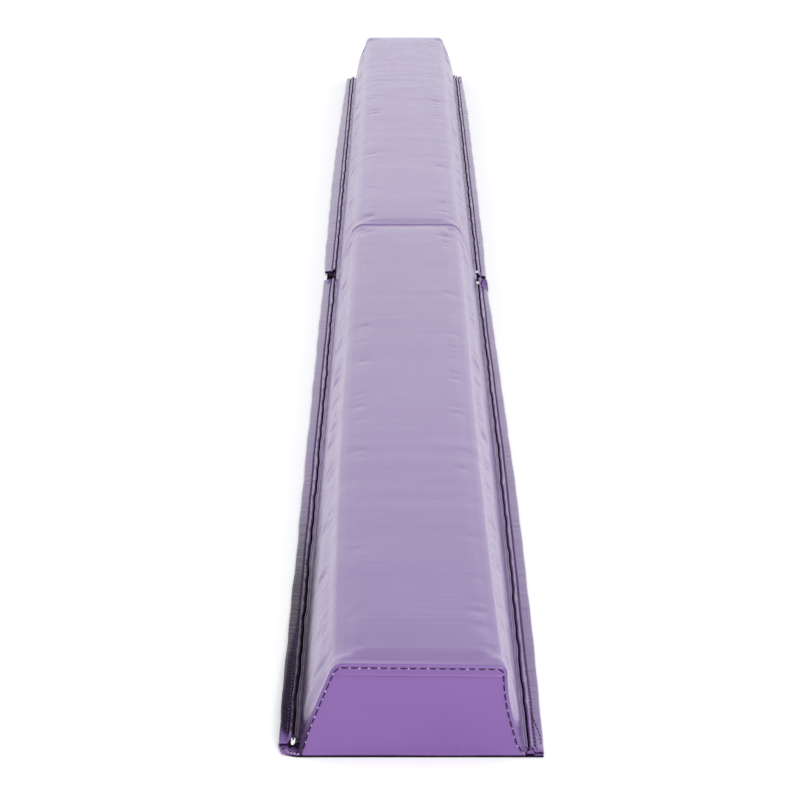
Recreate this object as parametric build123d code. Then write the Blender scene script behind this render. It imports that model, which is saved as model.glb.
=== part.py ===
from build123d import *
import os

# Folding floor balance beam: two padded halves that lie end to end and fold base to base.
# Millimetres. X runs across the beam (left is -X), Y along it (the front half is at -Y), Z up.
# The origin is on the floor, under the middle of the fold.

# ---- driving dimensions ----
BEAM_LENGTH = 2438.4            # 8 ft, both halves end to end
BEAM_HEIGHT = 60.0
TOP_WIDTH = 104.0               # walking surface
FOOT_WIDTH = 136.8              # where the sloping walls would meet the floor
OVERALL_WIDTH = 160.0           # across the two side flanges

COVER_SKIN = 1.0                # vinyl-coated upholstery cloth
END_CAP_SKIN = 1.0
BASE_SKIN = 1.2                 # dotted non-slip sheet
TOP_EDGE_RADIUS = 7.0
JOINT_GAP = 0.6                 # between the two halves' end caps
CORE_SPLIT_HEIGHT = 30.0        # glue line between the two foam planks
CORE_SIDE_ROOM = 0.8            # beside the foam, for the turned-up zip tape
CORE_EDGE_RADIUS = 8.0

# side flanges: a folded strip of cover vinyl that binds the base sheet and holds the zip
FLANGE_JOINT_CLEARANCE = 13.0   # each flange stops this far short of the fold
FLANGE_LEAF_TOP = 3.9
FLANGE_LEAF_SKIN = 0.8
FLANGE_HEM_TOP = 2.4            # top of the doubled lower leaf
LIP_TOP = 5.4
LIP_UNDERSIDE = 4.6
LIP_FOOT_IN = 74.3              # the raised lip's foot, on the zip side
LIP_CREST_OUT = 74.4
LIP_FOOT_OUT = 75.2

# concealed coil zip under the lips
ZIP_CENTRE = 71.0               # distance of the zip's centre line from the beam's
GROOVE_WIDTH = 1.3              # gap between the two lips
TAPE_BOTTOM = 2.5
TAPE_SKIN = 0.5
TAPE_RISE = 14.0                # the inner tape is turned up behind the cover to this height
TAPE_END_INSET = 3.0
CHAIN_HALF_WIDTH = 2.1
CHAIN_SPLIT = 0.12              # half the gap between the two meshed coils
CHAIN_BOTTOM = 2.05
CHAIN_TOP = 3.6
COIL_EDGE_RADIUS = 0.35

# zip slider and pull, measured from the end where the closed slider parks
SLIDER_START = 12.5
SLIDER_LENGTH = 9.0
SLIDER_HALF_WIDTH = 3.0
SLIDER_BOTTOM = 1.35
SLIDER_TOP = 4.35
SLIDER_PLATE = 0.55
SLIDER_RAIL = 0.65
SLIDER_CORNER_RADIUS = 0.8
TAPE_SLOT_CLEARANCE = 0.2
NOSE_LENGTH = 2.2               # the wedge that parts the coils
NOSE_WIDTH = 1.6
BRIDGE_WIDTH = 0.9
BRIDGE_AHEAD = 1.1              # how far the bridge reaches ahead of the pull's pivot
BRIDGE_BEHIND = 2.2
BRIDGE_BAR = 0.6
PULL_PIVOT_START = 15.5
PULL_PIVOT_HEIGHT = 6.0
PULL_WIDTH = 2.4
PULL_THICKNESS = 0.8
PULL_LENGTH = 9.0
PULL_ARM = 0.55
PULL_TIP_RADIUS = 0.96
PULL_BAR_CLEARANCE = 0.25       # round the pull's bar, in the bridge's window
PULL_EYE_REACH = 2.7            # from the pivot to the end of the eye
STOP_LENGTH = 2.0
STOP_GRIP = 0.6                 # how far a stop reaches to each side of the tape's edge
STOP_CLEARANCE = 0.4
BOTTOM_STOP_LENGTH = 3.0
BOTTOM_STOP_INSET = 5.0

# hinge strip, sewn across the fold on top of the base sheets
STRIP_REACH = 45.0
STRIP_HALF_WIDTH = 64.0
STRIP_SKIN = 0.8
STRIP_ROOM = 0.1
STRIP_END_ROOM = 1.0            # past the strip's end, in the foam's recess

# sewing thread, laid as a bead on each seam
THREAD_WIDTH = 0.6
THREAD_RISE = 0.35
CAP_SEAM_INSET = 3.5
FLANGE_SEAM = 75.6              # distance of the flange seam from the centre line
STRIP_SEAM = 38.0               # distance of each hinge strip seam from the fold

# ---- derived ----
HALF_LENGTH = BEAM_LENGTH / 2
WALL_SLOPE = (FOOT_WIDTH - TOP_WIDTH) / 2 / BEAM_HEIGHT
CAP_OUTER_FACE = HALF_LENGTH - THREAD_RISE
CAP_INNER_FACE = JOINT_GAP / 2 + THREAD_RISE
COVER_OUTER_END = CAP_OUTER_FACE - END_CAP_SKIN
COVER_INNER_END = CAP_INNER_FACE + END_CAP_SKIN
STRIP_TOP = BASE_SKIN + STRIP_SKIN
FLANGE_LENGTH = HALF_LENGTH - FLANGE_JOINT_CLEARANCE
LIP_GAP_IN = ZIP_CENTRE - GROOVE_WIDTH / 2
LIP_GAP_OUT = ZIP_CENTRE + GROOVE_WIDTH / 2
COIL_START = SLIDER_START + NOSE_LENGTH + STOP_CLEARANCE
COIL_END = FLANGE_LENGTH - BOTTOM_STOP_INSET - BOTTOM_STOP_LENGTH
PULL_PIVOT_BAR = PULL_THICKNESS / 2

HALVES = {"front": -1, "back": 1}   # sign of Y
SIDES = {"left": -1, "right": 1}    # sign of X
pieces = {}


def wall_x(height, inset=0.0):
    """Half width of the beam at a height, less an inset measured level."""
    return FOOT_WIDTH / 2 - WALL_SLOPE * height - inset


def prism(points, near, far):
    """A closed outline of (x, z) points, carried along Y from near to far."""
    face = make_face(Polyline(*[(x, 0, z) for x, z in points], close=True))
    return extrude(Pos(0, near, 0) * face, far - near, dir=(0, 1, 0))


def slab(x_range, y_range, z_range):
    """A plain block between the given limits."""
    spans = [high - low for low, high in (x_range, y_range, z_range)]
    corner = Pos(x_range[0], y_range[0], z_range[0])
    return corner * Box(*spans, align=(Align.MIN, Align.MIN, Align.MIN))


def beam_section(bottom, top, inset, radius, near, far):
    """The beam's trapezoid section with its two top edges rounded."""
    right = [(wall_x(bottom, inset), bottom), (wall_x(top, inset), top)]
    left = [(-x, z) for x, z in reversed(right)]
    solid = prism(right + left, near, far)
    top_edges = solid.edges().filter_by(Axis.Y).group_by(Axis.Z)[-1]
    return fillet(top_edges, radius)


# Each half is drawn as the back half (+Y); the front half is its mirror image.

def foam_cores():
    """Two firm foam planks, glued face to face."""
    inset = COVER_SKIN * (1 + WALL_SLOPE ** 2) ** 0.5 + CORE_SIDE_ROOM
    ends = (COVER_INNER_END, COVER_OUTER_END)
    plank = beam_section(BASE_SKIN, BEAM_HEIGHT - COVER_SKIN, inset, CORE_EDGE_RADIUS, *ends)
    x_range = (-OVERALL_WIDTH, OVERALL_WIDTH)
    lower = plank & slab(x_range, ends, (0, CORE_SPLIT_HEIGHT))
    upper = plank & slab(x_range, ends, (CORE_SPLIT_HEIGHT, BEAM_HEIGHT))
    recess = slab(x_range, (0, STRIP_REACH + STRIP_END_ROOM), (0, STRIP_TOP + STRIP_ROOM))
    return lower - recess, upper


def cover():
    """Top and both walls in one panel, with a hem turned out along the foot of each wall."""
    skin = COVER_SKIN * (1 + WALL_SLOPE ** 2) ** 0.5
    ends = (COVER_INNER_END, COVER_OUTER_END)
    outside = beam_section(LIP_UNDERSIDE, BEAM_HEIGHT, 0, TOP_EDGE_RADIUS, *ends)
    inside = beam_section(0, BEAM_HEIGHT - COVER_SKIN, skin, TOP_EDGE_RADIUS - COVER_SKIN, *ends)
    shell = outside - inside
    for side in SIDES.values():
        wall = sorted((side * wall_x(LIP_TOP, skin / 2), side * LIP_GAP_IN))
        shell = shell + slab(wall, ends, (LIP_UNDERSIDE, LIP_TOP))
    return shell


def end_cap(face, bottom):
    """A flat panel that closes one end; face is its near side."""
    return beam_section(bottom, BEAM_HEIGHT, 0, TOP_EDGE_RADIUS, face, face + END_CAP_SKIN)


def end_cap_thread(face):
    """The stitch line round the two walls and the top of one end."""
    ends = (face, face + THREAD_RISE)
    inset = CAP_SEAM_INSET
    foot = LIP_TOP
    outer = beam_section(foot, BEAM_HEIGHT - inset, inset, TOP_EDGE_RADIUS / 2, *ends)
    inset += THREAD_WIDTH
    inner = beam_section(0, BEAM_HEIGHT - inset, inset, TOP_EDGE_RADIUS / 2, *ends)
    return outer - inner


def flange():
    """The folded strip beside the right wall: a doubled hem below, one leaf above and a raised lip."""
    edge = OVERALL_WIDTH / 2
    fold = edge - FLANGE_LEAF_SKIN
    tape_room = FLANGE_LEAF_TOP - FLANGE_LEAF_SKIN
    outline = [
        (edge, BASE_SKIN), (LIP_FOOT_IN, BASE_SKIN), (LIP_FOOT_IN, FLANGE_HEM_TOP),
        (fold, FLANGE_HEM_TOP), (fold, tape_room), (LIP_FOOT_IN, tape_room),
        (LIP_FOOT_IN, LIP_UNDERSIDE), (LIP_GAP_OUT, LIP_UNDERSIDE), (LIP_GAP_OUT, LIP_TOP),
        (LIP_CREST_OUT, LIP_TOP), (LIP_FOOT_OUT, FLANGE_LEAF_TOP), (edge, FLANGE_LEAF_TOP),
    ]
    return prism(outline, FLANGE_JOINT_CLEARANCE, HALF_LENGTH)


def flange_thread():
    """The stitch line that holds the outer zip tape in the flange."""
    across = (FLANGE_SEAM - THREAD_WIDTH / 2, FLANGE_SEAM + THREAD_WIDTH / 2)
    along = (FLANGE_JOINT_CLEARANCE, HALF_LENGTH)
    return slab(across, along, (FLANGE_LEAF_TOP, FLANGE_LEAF_TOP + THREAD_RISE))


def base_panel():
    """Non-slip sheet under one half, as wide as the flanges."""
    edge = OVERALL_WIDTH / 2
    return slab((-edge, edge), (JOINT_GAP / 2, HALF_LENGTH), (0, BASE_SKIN))


def hinge_strip():
    """Flexible strip that joins the two base sheets across the fold."""
    across = (-STRIP_HALF_WIDTH, STRIP_HALF_WIDTH)
    return slab(across, (-STRIP_REACH, STRIP_REACH), (BASE_SKIN, STRIP_TOP))


def hinge_strip_thread():
    """One seam across the strip on each side of the fold, on its top face, below the foam."""
    across = (-STRIP_HALF_WIDTH + CAP_SEAM_INSET, STRIP_HALF_WIDTH - CAP_SEAM_INSET)
    along = (STRIP_SEAM - THREAD_WIDTH / 2, STRIP_SEAM + THREAD_WIDTH / 2)
    return slab(across, along, (STRIP_TOP, STRIP_TOP + STRIP_ROOM))


# Zip pieces are drawn with the zip's centre line at X = 0 and its parked end at Y = 0,
# closing towards -Y, the outer tape at +X.

def zip_outer_tape():
    """Flat tape sewn into the flange."""
    reach = OVERALL_WIDTH / 2 - FLANGE_LEAF_SKIN - ZIP_CENTRE
    along = (TAPE_END_INSET, FLANGE_LENGTH - TAPE_END_INSET)
    return slab((CHAIN_HALF_WIDTH, reach), along, (TAPE_BOTTOM, TAPE_BOTTOM + TAPE_SKIN))


def zip_inner_tape():
    """Tape turned up behind the cover's wall, where it is sewn to the hem."""
    top = TAPE_BOTTOM + TAPE_SKIN
    outer = COVER_SKIN * (1 + WALL_SLOPE ** 2) ** 0.5 + TAPE_SLOT_CLEARANCE / 2
    inner = outer + TAPE_SKIN
    outline = [
        (-CHAIN_HALF_WIDTH, TAPE_BOTTOM), (-CHAIN_HALF_WIDTH, top),
        (wall_x(top, outer) - ZIP_CENTRE, top), (wall_x(TAPE_RISE, outer) - ZIP_CENTRE, TAPE_RISE),
        (wall_x(TAPE_RISE, inner) - ZIP_CENTRE, TAPE_RISE),
        (wall_x(TAPE_BOTTOM, inner) - ZIP_CENTRE, TAPE_BOTTOM),
    ]
    return prism(outline, TAPE_END_INSET, FLANGE_LENGTH - TAPE_END_INSET)


def zip_coil(side):
    """One side of the nylon coil chain, as the bar that its turns fill."""
    across = sorted((side * CHAIN_SPLIT, side * CHAIN_HALF_WIDTH))
    bar = slab(across, (COIL_START, COIL_END), (CHAIN_BOTTOM, CHAIN_TOP))
    edges = bar.edges().filter_by(Axis.Y)
    return fillet(edges, COIL_EDGE_RADIUS)


def zip_slider():
    """Two plates with rails round the chain, joined by the nose, with a bridge for the pull."""
    along = (SLIDER_START, SLIDER_START + SLIDER_LENGTH)
    half = SLIDER_HALF_WIDTH
    body = slab((-half, half), along, (SLIDER_BOTTOM, SLIDER_TOP))
    body = fillet(body.edges().filter_by(Axis.Z), SLIDER_CORNER_RADIUS)
    rail = half - SLIDER_RAIL
    channel = (SLIDER_BOTTOM + SLIDER_PLATE, SLIDER_TOP - SLIDER_PLATE)
    body -= slab((-rail, rail), along, channel)
    slot = (TAPE_BOTTOM - TAPE_SLOT_CLEARANCE, TAPE_BOTTOM + TAPE_SKIN + TAPE_SLOT_CLEARANCE)
    body -= slab((-half, half), along, slot)
    nose = (SLIDER_START, SLIDER_START + NOSE_LENGTH)
    body += slab((-NOSE_WIDTH / 2, NOSE_WIDTH / 2), nose, channel)
    middle = PULL_PIVOT_START
    hole = PULL_PIVOT_BAR + PULL_BAR_CLEARANCE
    across = (-BRIDGE_WIDTH / 2, BRIDGE_WIDTH / 2)
    crown = PULL_PIVOT_HEIGHT + hole + BRIDGE_BAR
    bridge = slab(across, (middle - BRIDGE_AHEAD, middle + BRIDGE_BEHIND), (SLIDER_TOP, crown))
    window = (middle - hole, middle + hole)
    bridge -= slab(across, window, (PULL_PIVOT_HEIGHT - hole, PULL_PIVOT_HEIGHT + hole))
    return body + bridge


def zip_pull():
    """Small flat tab whose eye turns on a bar through the slider's bridge."""
    pivot = PULL_PIVOT_START
    half = PULL_WIDTH / 2
    thick = PULL_THICKNESS / 2
    height = (PULL_PIVOT_HEIGHT - thick, PULL_PIVOT_HEIGHT + thick)
    tab = slab((-half, half), (pivot - PULL_LENGTH, pivot), height)
    tip_edges = tab.edges().filter_by(Axis.Z).group_by(Axis.Y)[0]
    tab = fillet(tip_edges, PULL_TIP_RADIUS)
    eye = half - PULL_ARM
    tab -= slab((-eye, eye), (pivot - PULL_EYE_REACH, pivot), height)
    bar = Pos(0, pivot, PULL_PIVOT_HEIGHT) * Rot(0, 90, 0) * Cylinder(thick, PULL_WIDTH)
    return tab + bar


def zip_top_stop():
    """Two metal clips pinched on the tape edges, just ahead of the closed slider."""
    end = SLIDER_START - STOP_CLEARANCE
    along = (end - STOP_LENGTH, end)
    reach = (CHAIN_HALF_WIDTH - STOP_GRIP, CHAIN_HALF_WIDTH + STOP_GRIP)
    clip = slab(reach, along, (CHAIN_BOTTOM, CHAIN_TOP))
    tape = (TAPE_BOTTOM, TAPE_BOTTOM + TAPE_SKIN)
    clip -= slab((CHAIN_HALF_WIDTH, reach[1]), along, tape)
    return Compound(children=[clip, mirror(clip, Plane.YZ)])


def zip_bottom_stop():
    """Block that closes the far end of the chain."""
    half = CHAIN_HALF_WIDTH
    along = (COIL_END, COIL_END + BOTTOM_STOP_LENGTH)
    return slab((-half, half), along, (CHAIN_BOTTOM, CHAIN_TOP))


def add(name, shape):
    """Keeps a finished piece under its node name."""
    shape.label = name
    pieces[name] = shape


def on_half(shape, y_sign):
    """The back half's piece, or its mirror image for the front half."""
    return shape if y_sign > 0 else mirror(shape, Plane.XZ)


def on_side(shape, x_sign):
    """The right side's piece, or its mirror image for the left side."""
    return shape if x_sign > 0 else mirror(shape, Plane.YZ)


def place_zip(shape, side):
    """Left zips park their sliders at the outer end of the half, right zips at the fold."""
    if side == "left":
        shape = Pos(0, HALF_LENGTH, 0) * mirror(shape, Plane.XZ)
    else:
        shape = Pos(0, FLANGE_JOINT_CLEARANCE, 0) * shape
    return on_side(Pos(ZIP_CENTRE, 0, 0) * shape, SIDES[side])


def build_half(half, y_sign):
    """All the pieces of one padded half."""
    core_lower, core_upper = foam_cores()
    for name, shape in (
        ("foam_core_lower", core_lower),
        ("foam_core_upper", core_upper),
        ("cover", cover()),
        ("outer_end_cap", end_cap(COVER_OUTER_END, BASE_SKIN)),
        ("inner_end_cap", end_cap(CAP_INNER_FACE, STRIP_TOP + STRIP_ROOM)),
        ("base_panel", base_panel()),
    ):
        add(f"{half}_{name}", on_half(shape, y_sign))
    cap_threads = [end_cap_thread(CAP_OUTER_FACE), end_cap_thread(JOINT_GAP / 2)]
    add(f"{half}_end_cap_thread", Compound(children=[on_half(t, y_sign) for t in cap_threads]))
    flange_threads = [on_half(on_side(flange_thread(), x), y_sign) for x in SIDES.values()]
    add(f"{half}_flange_thread", Compound(children=flange_threads))
    for side, x_sign in SIDES.items():
        add(f"{half}_{side}_flange", on_half(on_side(flange(), x_sign), y_sign))
        for name, shape in (
            ("inner_tape", zip_inner_tape()),
            ("outer_tape", zip_outer_tape()),
            ("inner_coil", zip_coil(-1)),
            ("outer_coil", zip_coil(1)),
            ("slider", zip_slider()),
            ("pull", zip_pull()),
            ("top_stop", zip_top_stop()),
            ("bottom_stop", zip_bottom_stop()),
        ):
            add(f"{half}_{side}_zip_{name}", on_half(place_zip(shape, side), y_sign))


for half_name, sign in HALVES.items():
    build_half(half_name, sign)
add("fold_hinge_strip", hinge_strip())
strip_seams = [on_half(hinge_strip_thread(), sign) for sign in HALVES.values()]
add("fold_hinge_thread", Compound(children=strip_seams))

os.makedirs("parts", exist_ok=True)
for piece_name, piece in pieces.items():
    export_step(piece, f"parts/{piece_name}.step")
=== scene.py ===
import math

import bpy
import numpy as np
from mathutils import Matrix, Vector, noise


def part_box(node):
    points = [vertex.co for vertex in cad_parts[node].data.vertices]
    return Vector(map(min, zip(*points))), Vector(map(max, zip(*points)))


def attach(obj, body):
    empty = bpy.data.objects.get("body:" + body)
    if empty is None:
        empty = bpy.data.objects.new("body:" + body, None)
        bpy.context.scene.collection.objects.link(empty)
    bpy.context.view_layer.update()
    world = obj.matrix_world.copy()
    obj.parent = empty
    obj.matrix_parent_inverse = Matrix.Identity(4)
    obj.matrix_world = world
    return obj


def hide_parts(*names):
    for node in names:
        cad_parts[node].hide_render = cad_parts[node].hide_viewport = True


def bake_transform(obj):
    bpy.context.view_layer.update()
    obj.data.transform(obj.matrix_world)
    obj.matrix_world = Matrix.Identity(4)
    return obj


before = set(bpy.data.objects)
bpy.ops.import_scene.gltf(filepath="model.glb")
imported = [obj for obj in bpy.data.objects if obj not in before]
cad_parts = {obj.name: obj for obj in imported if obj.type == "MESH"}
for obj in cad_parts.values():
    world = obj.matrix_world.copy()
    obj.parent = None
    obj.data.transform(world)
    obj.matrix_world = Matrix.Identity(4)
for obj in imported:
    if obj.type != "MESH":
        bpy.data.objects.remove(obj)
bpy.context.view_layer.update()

# Folding floor balance beam. Shapes are worked out in millimetres and made in metres, in the CAD
# frame: X across (left is -X), Y along (the front half is at -Y), Z up, origin under the fold.
# Each half is drawn by its distance from the fold, "along", so both come from the same functions.

MM = 0.001


def box_mm(node):
    """Lowest and highest corner of a CAD node, in millimetres."""
    low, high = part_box(node)
    return low / MM, high / MM


base_low, base_high = box_mm("back_base_panel")
cover_low, cover_high = box_mm("back_cover")
cap_low, cap_high = box_mm("back_outer_end_cap")
flange_low, flange_high = box_mm("back_right_flange")
strip_low, strip_high = box_mm("fold_hinge_strip")

HALF_LENGTH = base_high.y
JOINT_FACE = base_low.y
BASE_TOP = base_high.z
EDGE = base_high.x
HEIGHT = cover_high.z
LIP_UNDERSIDE = cover_low.z
LIP_TOP = flange_high.z
LEAF_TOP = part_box("back_flange_thread")[0].z / MM
GROOVE_IN = cover_high.x
GROOVE_OUT = flange_low.x
FLANGE_START = flange_low.y
TOP_HALF_WIDTH = 52.0
WALL_SLOPE = (cap_high.x - TOP_HALF_WIDTH) / (HEIGHT - cap_low.z)
WALL_ANGLE = math.atan(WALL_SLOPE)
SKIN = 0.45                      # shown thickness of the cover vinyl
LEAF_SKIN = 0.6                  # and of the flange vinyl

# how the soft cover lies
LEFT_EDGE_RADIUS, RIGHT_EDGE_RADIUS = 10.0, 8.0
JOINT_EDGE_RADIUS, JOINT_EDGE_FADE = 14.0, 22.0
CROWN = 0.7                      # rise of the top's middle
FOOT_BOW = 1.3                   # sideways bow of the front half's right foot
WALL_BULGE = 2.0                 # how far the walls belly out halfway up
FOOT_PUSH, FOOT_PUSH_HEIGHT = 1.4, 9.0   # the wall's foot is pulled out by its lip
FRONT_SKEW, SKEW_FADE = 6.0, 650.0   # the front end's top leans to the right
FRONT_TILT = 1.2                 # and its right edge sits this much lower
END_ROLL = 1.1                   # radius of the cover's roll over each end
ROLL_BAND = 2.1                  # how far its rolled edge reaches in over the end panel
JOINT_ROLL_SWELL = 0.6           # the same rolled edge stands proud at the fold
JOINT_FLARE = 2.4                # and the front half's wall spreads there at its foot
STITCH_PITCH = 5.85
ROW_STEP, FINE_STEP = 3.0, 1.45  # spacing of the covers' and flanges' rows of points
MOUTH_DEPTH = 14.0               # the left flanges' open outer ends
CORNER_CUT = 17.0                # length of the base's rounded corner there
MOUTH_LIFT = {"front": 6.5, "back": 3.0}     # how high their outer edge stands there
MOUTH_LIFT_FADE = 270.0          # and how far back they stay lifted
FLANGE_EXTRA = {"left": 1.3, "right": 1.6}   # slack of the soft flange over its cut width
FLANGE_SET = {  # how far each flange's edge lies out or in: (distance from the fold, offset)
    ("front", "left"): [(0, 2.2), (80, 2.2), (200, 0.9), (450, 0.9), (700, 0.2)],
    ("back", "left"): [(30, 2.4), (250, 2.8), (350, 3.4), (720, 3.4), (900, 1.4), (1100, 0.6)],
    ("front", "right"): [(0, -0.4), (300, -0.6), (450, -0.3), (700, 0.3), (950, 0.7), (1120, 0.8)],
    ("back", "right"): [(30, -0.3), (300, -0.2), (700, 0.3), (1100, 0.4)],
}
FLANGE_STARTS = {  # how far from the fold each drawn flange starts
    ("front", "left"): 1.5, ("back", "left"): 36.0, ("front", "right"): 2.0, ("back", "right"): 14.0}
BUNCH_REACH = {  # length of the bunched vinyl at each flange's end by the fold
    ("front", "right"): 30.0, ("front", "left"): 14.0, ("back", "left"): 9.0, ("back", "right"): 12.0}
BUNCH_SIZE = {  # and its height
    ("front", "right"): 3.6, ("front", "left"): 2.4, ("back", "left"): 1.2, ("back", "right"): 1.4}
SEAM_LINE = 75.25                # distance of the flange's stitch line from the middle of the beam
FORK_LENGTH, FORK_REACH = 56.0, 3.6
MOUTH_RUN = 60.0                 # length over which the left flanges' outer ends are shaped
FINE_GAP = 0.42                  # how far the cover's lip is drawn into the CAD's groove

HALVES = {"front": -1, "back": 1}
SIDES = {"left": -1, "right": 1}


def ease(t):
    """Smooth step from 0 to 1."""
    t = np.clip(t, 0, 1)
    return t * t * (3 - 2 * t)


def bump_at(distance, width):
    """A smooth hill, 1 at no distance."""
    return np.exp(-((distance / width) ** 2))


def wander(along, seed, waves, size):
    """A smooth irregular line: a few waves with seeded phases."""
    rng = np.random.default_rng(seed)
    total = sum(rng.uniform(0.5, 1) * np.sin(2 * np.pi * along / wave + rng.uniform(0, 6.28))
                for wave in waves)
    return size * total / len(waves) ** 0.5


def noise_grid(points, scales, seed):
    """Perlin noise at each point of a grid, stretched by scales, in wave lengths of millimetres."""
    flat = points.reshape(-1, 3) / np.array(scales) + seed * 17.3
    return np.array([noise.noise(p) for p in flat]).reshape(points.shape[:-1])


# ---------------------------------------------------------------- meshes

def make_mesh(name, points, faces, material, smooth=True):
    """A mesh object from points in millimetres."""
    mesh = bpy.data.meshes.new(name)
    mesh.from_pydata((np.asarray(points).reshape(-1, 3) * MM).tolist(), [], faces)
    mesh.polygons.foreach_set("use_smooth", [smooth] * len(mesh.polygons))
    mesh.materials.append(material)
    mesh.update()
    piece = bpy.data.objects.new(name, mesh)
    bpy.context.scene.collection.objects.link(piece)
    return piece


def grid_faces(rows, columns, wrap=False, start=0, flip=False):
    """Quads over a grid of points; wrap closes each row on itself."""
    last = columns if wrap else columns - 1
    j, i = np.meshgrid(np.arange(rows - 1), np.arange(last), indexing="ij")
    right = (i + 1) % columns
    below, above = j * columns, (j + 1) * columns
    quads = np.stack([below + i, below + right, above + right, above + i], -1).reshape(-1, 4) + start
    return (quads[:, ::-1] if flip else quads).tolist()


def grid_piece(name, grid, material, thickness=0.0, side=-1.0, flip=False):
    """A sheet from a grid of points, thickened by Solidify; side -1 grows it behind its face."""
    rows, columns = grid.shape[:2]
    piece = make_mesh(name, grid, grid_faces(rows, columns, flip=flip), material)
    if thickness:
        thicken(piece, thickness, side)
    return piece


def thicken(piece, thickness, side=-1.0):
    """Gives a sheet its thickness; side -1 grows it behind its face."""
    solid = piece.modifiers.new("skin", "SOLIDIFY")
    solid.thickness = thickness * MM
    solid.offset = side


def tubes(name, paths, radii, material, sides=6):
    """Closed tubes along paths of millimetre points, as one mesh; radii has one value per point."""
    points, faces, start = [], [], 0
    angles = np.linspace(0, 2 * np.pi, sides, endpoint=False)
    for path, radius in zip(paths, radii):
        path = np.asarray(path, float)
        tangent = np.gradient(path, axis=0)
        tangent /= np.linalg.norm(tangent, axis=1)[:, None] + 1e-12
        across = np.cross(tangent, [0.0, 0.0, 1.0])
        weak = np.linalg.norm(across, axis=1) < 0.1
        across[weak] = np.cross(tangent[weak], [0.0, 1.0, 0.0])
        across /= np.linalg.norm(across, axis=1)[:, None]
        up = np.cross(across, tangent)
        size = np.broadcast_to(radius, len(path))[:, None, None]
        ring = across[:, None] * np.cos(angles)[:, None] + up[:, None] * np.sin(angles)[:, None]
        points.append((path[:, None] + ring * size).reshape(-1, 3))
        faces += grid_faces(len(path), sides, wrap=True, start=start, flip=True)
        faces.append(list(range(start, start + sides)))
        end = start + (len(path) - 1) * sides
        faces.append(list(range(end + sides - 1, end - 1, -1)))
        start += len(path) * sides
    return make_mesh(name, np.concatenate(points), faces, material)


def along_path(path, distances):
    """Points at the given distances along a polyline."""
    path = np.asarray(path, float)
    lengths = np.concatenate([[0], np.cumsum(np.linalg.norm(np.diff(path, axis=0), axis=1))])
    return np.stack([np.interp(distances, lengths, path[:, k]) for k in range(3)], -1), lengths[-1]


def stitch_row(name, path, outward, material, seed, length=3.9, radius=0.38, sink=0.5, start=2.0):
    """A row of thread stitches that rise out of the surface at one hole and dip in at the next."""
    rng = np.random.default_rng(seed)
    total = along_path(path, [0])[1]
    arc = np.linspace(0, 1, 6)
    paths, radii = [], []
    for begin in np.arange(start, total - length, STITCH_PITCH):
        begin = begin + rng.uniform(-0.15, 0.15)
        points = along_path(path, begin + arc * length * rng.uniform(0.94, 1.04))[0]
        lift = (np.sin(np.pi * arc) ** 0.6 * (radius * 0.75 + sink) - sink)[:, None]
        paths.append(points + np.asarray(outward) * lift)
        radii.append(radius * rng.uniform(0.9, 1.08) * np.array([0.7, 1, 1.05, 1.05, 1, 0.7]))
    return tubes(name, paths, radii, material)


def beads(name, centres, radii, material):
    """Small rounded puckers, as one mesh of low ellipsoids."""
    points, faces, start = [], [], 0
    rings, sides = 4, 8
    lat = np.linspace(-np.pi / 2, np.pi / 2, rings + 2)[1:-1]
    lon = np.linspace(0, 2 * np.pi, sides, endpoint=False)
    unit = np.stack([np.outer(np.cos(lat), np.cos(lon)), np.outer(np.cos(lat), np.sin(lon)),
                     np.outer(np.sin(lat), np.ones(sides))], -1)
    for centre, radius in zip(centres, radii):
        body = np.asarray(centre) + unit * np.asarray(radius)
        points.append(body.reshape(-1, 3))
        faces += grid_faces(rings, sides, wrap=True, start=start)
        faces.append(list(range(start + sides - 1, start - 1, -1)))
        faces.append(list(range(start + (rings - 1) * sides, start + rings * sides)))
        start += rings * sides
    return make_mesh(name, np.concatenate(points), faces, material)


def points_of(*coordinates):
    """Points from separate coordinates, spread to one shape."""
    return np.stack(np.broadcast_arrays(*coordinates), -1)


def place(grid, half):
    """Turns points of (x, along, z) into the frame: the front half runs towards -Y."""
    placed = np.array(grid, float)
    placed[..., 1] *= HALVES[half]
    return placed


def settle(piece, slot, half, *stands_for):
    """Hangs a piece on the half it rides on and hides the CAD nodes it stands for; slot is not used."""
    if stands_for:
        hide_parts(*stands_for)
    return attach(piece, f"{half}_half")


# ---------------------------------------------------------------- materials

def new_material(name):
    """A node material, its Principled shader and its node tree."""
    material = bpy.data.materials.new(name)
    material.use_nodes = True
    tree = material.node_tree
    return material, tree.nodes["Principled BSDF"], tree


def node(tree, kind, **inputs):
    """A node with its settings and input values."""
    made = tree.nodes.new(kind)
    for key, value in inputs.items():
        if hasattr(made, key):
            setattr(made, key, value)
        else:
            made.inputs[key.replace("_", " ")].default_value = value
    return made


def stretched(tree, scale):
    """Object coordinates in metres, multiplied by scale."""
    place_node = node(tree, "ShaderNodeTexCoord")
    mapping = node(tree, "ShaderNodeMapping")
    mapping.inputs["Scale"].default_value = scale
    tree.links.new(place_node.outputs["Object"], mapping.inputs["Vector"])
    return mapping.outputs["Vector"]


def noise_node(tree, scale, detail=3.0, roughness=0.5):
    """Noise over stretched object coordinates."""
    return texture(tree, "ShaderNodeTexNoise", scale, Detail=detail, Roughness=roughness)["Fac"]


def ramp(tree, value, stops):
    """A colour ramp over a value; stops are (place, colour)."""
    made = tree.nodes.new("ShaderNodeValToRGB")
    tree.links.new(value, made.inputs["Fac"])
    elements = made.color_ramp.elements
    while len(elements) < len(stops):
        elements.new(0.5)
    for element, (spot, colour) in zip(elements, stops):
        element.position = spot
        element.color = (*colour, 1.0)
    return made.outputs["Color"]


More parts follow.
